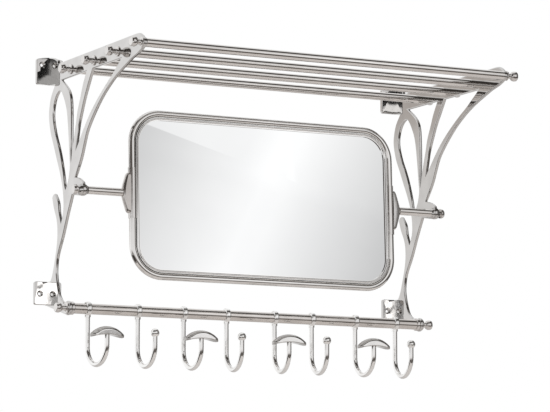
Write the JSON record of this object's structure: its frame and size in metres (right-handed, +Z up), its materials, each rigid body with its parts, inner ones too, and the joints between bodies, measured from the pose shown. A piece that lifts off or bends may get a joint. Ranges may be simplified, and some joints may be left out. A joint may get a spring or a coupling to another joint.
{
  "type": "mirror with hooks and shelf",
  "caption": "Wall rack with cast side brackets, a tubular luggage shelf, a tilting framed mirror and a rail of sliding coat and hat hooks",
  "frame": {"origin": "on the wall plane, at the centre of the pattern of the wall plates' screw holes", "axes": "+X along the tubes to the right of a person facing the mirror, -Y away from the wall, +Z up"},
  "size_m": [0.751, 0.4053, 0.555],
  "materials": {
    "cast_bracket": "polished sand casting with faint buffing marks",
    "bright_tube": "bright nickel plate on steel tube",
    "turned_fitting": "bright nickel plate on turned and cast fittings",
    "threaded_plug": "plain turned steel",
    "hook_metal": "bright nickel plate on bent wire and castings",
    "bezel": "bright nickel plate",
    "mirror_glass": "silvered flat glass",
    "back_board": "matt dark board"
  },
  "bodies": {
    "rack": {"left_bracket": "cast_bracket", "right_bracket": "cast_bracket", "shelf_tube_1": "bright_tube", "shelf_tube_2": "bright_tube", "shelf_tube_3": "bright_tube", "shelf_tube_4": "bright_tube", "finial_left_1": "turned_fitting", "finial_left_2": "turned_fitting", "finial_left_3": "turned_fitting", "finial_left_4": "turned_fitting", "finial_right_1": "turned_fitting", "finial_right_2": "turned_fitting", "finial_right_3": "turned_fitting", "finial_right_4": "turned_fitting", "tube_plugs": "threaded_plug", "hook_rail": "bright_tube", "rail_plugs": "threaded_plug", "rail_ferrule_left": "turned_fitting", "rail_ferrule_right": "turned_fitting", "rail_finial_left": "turned_fitting", "rail_finial_right": "turned_fitting"},
    "mirror": {"pivot_rod_left": "bright_tube", "pivot_rod_right": "bright_tube", "pivot_knob_left": "turned_fitting", "pivot_knob_right": "turned_fitting", "saddle_left": "turned_fitting", "saddle_right": "turned_fitting", "sleeve_left": "turned_fitting", "sleeve_right": "turned_fitting", "mirror_frame_top": "bright_tube", "mirror_frame_bottom": "bright_tube", "mirror_bezel": "bezel", "mirror_glass": "mirror_glass", "mirror_back": "back_board", "back_clips": "threaded_plug"},
    "hook_1": {"hook_1_collar": "hook_metal", "hook_1_wire": "hook_metal", "hook_1_cap": "hook_metal"},
    "hook_2": {"hook_2_collar": "hook_metal", "hook_2_wire": "hook_metal", "hook_2_ball": "hook_metal"},
    "hook_3": {"hook_3_collar": "hook_metal", "hook_3_wire": "hook_metal", "hook_3_cap": "hook_metal"},
    "hook_4": {"hook_4_collar": "hook_metal", "hook_4_wire": "hook_metal", "hook_4_ball": "hook_metal"},
    "hook_5": {"hook_5_collar": "hook_metal", "hook_5_wire": "hook_metal", "hook_5_cap": "hook_metal"},
    "hook_6": {"hook_6_collar": "hook_metal", "hook_6_wire": "hook_metal", "hook_6_ball": "hook_metal"},
    "hook_7": {"hook_7_collar": "hook_metal", "hook_7_wire": "hook_metal", "hook_7_cap": "hook_metal"},
    "hook_8": {"hook_8_collar": "hook_metal", "hook_8_wire": "hook_metal", "hook_8_ball": "hook_metal"}
  },
  "joints": [
    {"name": "mirror_tilt", "type": "hinge", "parent": "rack", "child": "mirror", "pos_m": [0, -0.1515, -0.036], "axis": [1, 0, 0], "range_deg": [-75, 75]},
    {"name": "hook_1_slide", "type": "slide", "parent": "rack", "child": "hook_1", "axis": [1, 0, 0], "range_m": [-0.01, 0.01]},
    {"name": "hook_2_slide", "type": "slide", "parent": "rack", "child": "hook_2", "axis": [1, 0, 0], "range_m": [-0.01, 0.01]},
    {"name": "hook_3_slide", "type": "slide", "parent": "rack", "child": "hook_3", "axis": [1, 0, 0], "range_m": [-0.01, 0.01]},
    {"name": "hook_4_slide", "type": "slide", "parent": "rack", "child": "hook_4", "axis": [1, 0, 0], "range_m": [-0.01, 0.01]},
    {"name": "hook_5_slide", "type": "slide", "parent": "rack", "child": "hook_5", "axis": [1, 0, 0], "range_m": [-0.01, 0.01]},
    {"name": "hook_6_slide", "type": "slide", "parent": "rack", "child": "hook_6", "axis": [1, 0, 0], "range_m": [-0.01, 0.01]},
    {"name": "hook_7_slide", "type": "slide", "parent": "rack", "child": "hook_7", "axis": [1, 0, 0], "range_m": [-0.01, 0.01]},
    {"name": "hook_8_slide", "type": "slide", "parent": "rack", "child": "hook_8", "axis": [1, 0, 0], "range_m": [-0.01, 0.01]}
  ]
}
